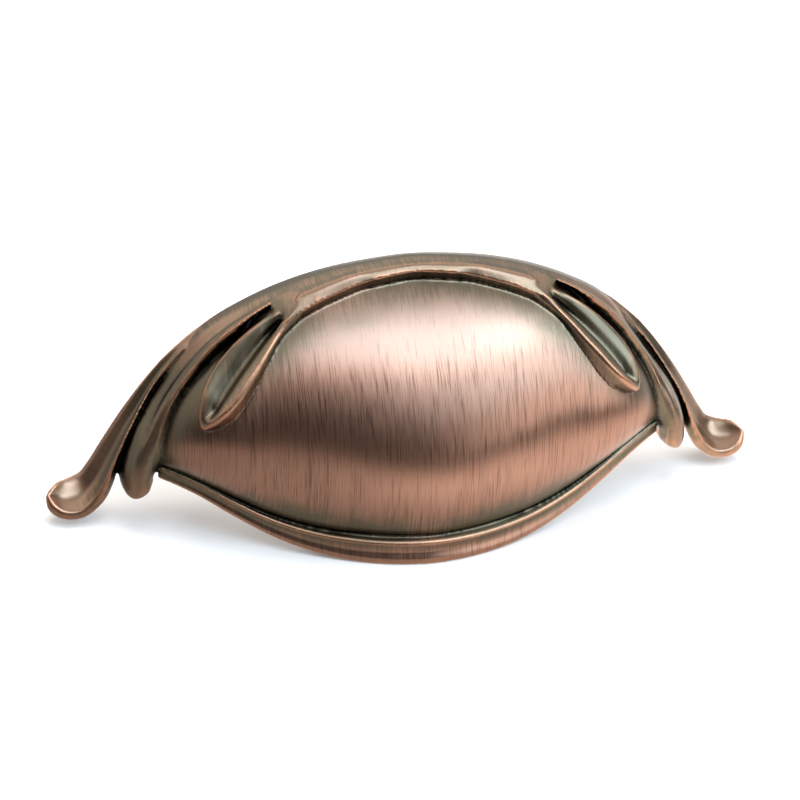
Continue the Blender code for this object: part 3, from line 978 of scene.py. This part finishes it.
def makeFinish():
    material = bpy.data.materials.new("antiqueCopper")
    material.use_nodes = True
    tree = material.node_tree
    shader = tree.nodes["Principled BSDF"]
    coords = node(tree, "ShaderNodeTexCoord").outputs["Object"]
    normal = node(tree, "ShaderNodeNewGeometry").outputs["Normal"]
    strokes = makeStrokes(tree, coords)
    swing = minus(tree, strokes, 0.5)
    tree.links.new(makeCopperColour(tree, coords, normal, swing), shader.inputs["Base Color"])
    rough, roughSwing = finish["roughness"], finish["roughnessSwing"]
    roughness = ramp(tree, strokes, (0.0, 1.0), (rough - roughSwing, rough + roughSwing))
    tree.links.new(roughness, shader.inputs["Roughness"])
    shader.inputs["Metallic"].default_value = 1.0
    shader.inputs["Anisotropic"].default_value = finish["brushing"]
    grain = attribute(tree, "grain", "Vector")
    tree.links.new(grain, shader.inputs["Tangent"])
    # each stroke leans the surface a little up or down
    lean = vectorNode(tree, "CROSS_PRODUCT", {0: normal, 1: grain})
    lean = vectorNode(tree, "SCALE", {0: lean, "Scale": times(tree, swing, finish["waver"])})
    leaning = vectorNode(tree, "NORMALIZE", {0: vectorNode(tree, "ADD", {0: normal, 1: lean})})
    bump = node(tree, "ShaderNodeBump", {
        "Height": strokes, "Strength": finish["strokeStrength"],
        "Distance": finish["strokeDepth"] * mm, "Normal": leaning,
    })
    tree.links.new(bump.outputs[0], shader.inputs["Normal"])
    return material


pull.data.materials.clear()
pull.data.materials.append(makeFinish())
pull.data.shade_smooth()
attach(pull, "root")
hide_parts("pull_casting")
print("copper finish done")


# The room as the metal sees it: its light at the horizon, overhead and behind the drawer front.
# The pairs are how far up or back a way points where that light comes in
room = {
    "horizon": 0.05,
    "zenith": 0.8,
    "upward": (0.3, 0.95),
    "behind": 1.25,
    "backward": (-0.1, 0.35),
    "behindLow": 0.4,
    "behindUpward": (0.15, 0.5),
}

# The bright panels: their middle by azimuth and elevation in degrees from the pull, their turn,
# half their width and height and their soft rim as tangents, and their colour
panels = [
    {"spot": (20, 61), "turn": -16, "half": (0.56, 0.27), "rim": 0.22, "colour": (0.88, 0.88, 0.92)},
    {"spot": (24, 62), "turn": -16, "half": (0.48, 0.23), "rim": 0.28, "colour": (0.50, 1.05, 1.6)},
    {"spot": (50, 28), "turn": 0, "half": (0.42, 0.60), "rim": 0.22, "colour": (1.75, 1.9, 2.0)},
    {"spot": (48, 38), "turn": 0, "half": (0.38, 0.30), "rim": 0.2, "colour": (0.35, 1.1, 1.8)},
]


def panelAxes(panel):
    # the way to the panel's middle, and its own right and up
    azimuth, elevation = (math.radians(angle) for angle in panel["spot"])
    centre = Vector((math.sin(azimuth) * math.cos(elevation), -math.cos(azimuth) * math.cos(elevation),
                     math.sin(elevation)))
    right = Vector((math.cos(azimuth), math.sin(azimuth), 0))
    up = centre.cross(right)
    turn = math.radians(panel["turn"])
    return centre, math.cos(turn) * right + math.sin(turn) * up, math.cos(turn) * up - math.sin(turn) * right


def dot(tree, vector, axis):
    return vectorNode(tree, "DOT_PRODUCT", {0: vector, 1: tuple(axis)}, "Value")


def panelShare(tree, way, panel):
    # 1 inside the panel, falling to 0 over its soft rim
    centre, right, up = panelAxes(panel)
    depth = mathNode(tree, "MAXIMUM", dot(tree, way, centre), 0.001)
    rim = panel["rim"] / 2
    shares = []
    for axis, half in zip((right, up), panel["half"]):
        off = mathNode(tree, "ABSOLUTE", mathNode(tree, "DIVIDE", dot(tree, way, axis), depth))
        shares.append(between(tree, off, (half + rim, half - rim)))
    return times(tree, *shares)


def makeRoom():
    world = bpy.data.worlds.new("room")
    bpy.context.scene.world = world
    world.use_nodes = True
    tree = world.node_tree
    way = node(tree, "ShaderNodeTexCoord").outputs["Generated"]
    height = component(tree, way, 2)
    level = ramp(tree, height, room["upward"], (room["horizon"], room["zenith"]), smooth=True)
    back = times(tree, between(tree, component(tree, way, 1), room["backward"]), room["behind"])
    back = times(tree, back, ramp(tree, height, room["behindUpward"], (room["behindLow"], 1.0)))
    level = mathNode(tree, "MAXIMUM", level, back)
    colour = node(tree, "ShaderNodeCombineXYZ", {0: level, 1: level, 2: level}).outputs[0]
    for panel in panels:
        glow = vectorNode(tree, "SCALE", {0: panel["colour"], "Scale": panelShare(tree, way, panel)})
        colour = vectorNode(tree, "ADD", {0: colour, 1: glow})
    # the camera itself sees a white backdrop
    fromCamera = node(tree, "ShaderNodeLightPath").outputs["Is Camera Ray"]
    colour = mixColour(tree, fromCamera, colour, (1, 1, 1, 1))
    tree.links.new(colour, tree.nodes["Background"].inputs["Color"])
    world.cycles.sampling_method = "NONE"


# The table, and how bright the metal sees it at the left and right, far off and close by: to the metal the
# table is a glowing painted reflection, with a painted shadow close to the pull. The pairs named Stretch are
# in metres
table = {
    "size": 1.6,
    "colour": (0.82, 0.78, 0.745, 1),
    "glow": 0.1,
    "left": 0.42,
    "right": 1.4,
    "sideStretch": (-0.06, 0.035),
    "farLean": 0.8,
    "far": 0.12,
    "farStretch": (0.22, 0.05),
    "near": 0.5,
    "nearStretch": (0.016, 0.05),
}


def paintedTableReflection(tree):
    # painted reflection: the table glows for the metal, dark on the left and towards the far dark of the room
    spot = node(tree, "ShaderNodeTexCoord").outputs["Object"]
    x, y = component(tree, spot, 0), component(tree, spot, 1)
    level = ramp(tree, x, table["sideStretch"], (table["left"], table["right"]), smooth=True)
    away = between(tree, minus(tree, times(tree, x, table["farLean"]), y), table["farStretch"])
    level = times(tree, level, ramp(tree, away, (0.0, 1.0), (table["far"], 1.0)))
    # and a painted shadow: darker close to the pull, which hides the lamps from it
    distance = vectorNode(tree, "LENGTH", {0: spot}, "Value")
    near = between(tree, distance, table["nearStretch"])
    level = times(tree, level, ramp(tree, near, (0.0, 1.0), (table["near"], 1.0)))
    return node(tree, "ShaderNodeEmission", {"Strength": level}).outputs[0]


def makeTable():
    size = table["size"]
    bpy.ops.mesh.primitive_plane_add(size=1, location=(0, 0, 0))
    floor = bpy.context.object
    floor.name = "floor"
    floor.data.transform(Matrix.Diagonal((size, size, 1, 1)))
    material = bpy.data.materials.new("whiteTable")
    material.use_nodes = True
    tree = material.node_tree
    shader = tree.nodes["Principled BSDF"]
    shader.inputs["Base Color"].default_value = table["colour"]
    shader.inputs["Roughness"].default_value = 0.9
    shader.inputs["Specular IOR Level"].default_value = 0.0
    path = node(tree, "ShaderNodeLightPath").outputs
    glow = times(tree, path["Is Camera Ray"], table["glow"])
    tree.links.new(glow, shader.inputs["Emission Strength"])
    shader.inputs["Emission Color"].default_value = (1, 1, 1, 1)
    # glossy rays see the painted reflection in place of the lit table
    ways = {0: path["Is Glossy Ray"], 1: shader.outputs[0], 2: paintedTableReflection(tree)}
    mix = node(tree, "ShaderNodeMixShader", ways)
    tree.links.new(mix.outputs[0], tree.nodes["Material Output"].inputs["Surface"])
    material.cycles.emission_sampling = "NONE"
    floor.data.materials.append(material)


# The lamp that lights the table and gives the pull its shadow. The metal doesn't show it
topLamp = {"radiance": 6.0, "size": 0.5, "place": (0.05, 0.05, 0.8), "target": (0, 0, 0.02)}


def makeTopLamp():
    data = bpy.data.lights.new("top", "AREA")
    data.shape = "SQUARE"
    data.size = topLamp["size"]
    data.energy = topLamp["radiance"] * math.pi * topLamp["size"] ** 2
    lamp = bpy.data.objects.new("top", data)
    bpy.context.scene.collection.objects.link(lamp)
    spot, target = Vector(topLamp["place"]), Vector(topLamp["target"])
    lamp.location = spot
    lamp.rotation_euler = (target - spot).to_track_quat("-Z", "Y").to_euler()
    lamp.visible_glossy = False
    lamp.visible_camera = False


# Angles in degrees, lens and sensor in millimetres, the rest in metres
camera = {
    "turn": 13.938,
    "rise": 31.5,
    "roll": 2.3,
    "target": (-0.002763, 0.0048, 0.023341),
    "distance": 0.49365,
    "lens": 121.5,
    "sensor": 36,
    "clipStart": 0.01,
}


def makeCamera():
    turn, rise, roll = (math.radians(camera[name]) for name in ("turn", "rise", "roll"))
    back = Vector((-math.sin(turn) * math.cos(rise), -math.cos(turn) * math.cos(rise), math.sin(rise)))
    right = (-back).cross(Vector((0, 0, 1))).normalized()
    up = right.cross(-back)
    right, up = math.cos(roll) * right + math.sin(roll) * up, math.cos(roll) * up - math.sin(roll) * right
    matrix = Matrix((right, up, back)).transposed().to_4x4()
    matrix.translation = Vector(camera["target"]) + back * camera["distance"]
    data = bpy.data.cameras.new("camera")
    data.lens = camera["lens"]
    data.sensor_width = camera["sensor"]
    data.clip_start = camera["clipStart"]
    viewer = bpy.data.objects.new("camera", data)
    bpy.context.scene.collection.objects.link(viewer)
    viewer.matrix_world = matrix
    bpy.context.scene.camera = viewer


makeTable()
makeRoom()
makeTopLamp()
makeCamera()
bpy.context.scene.view_settings.view_transform = "Standard"
print("studio done")
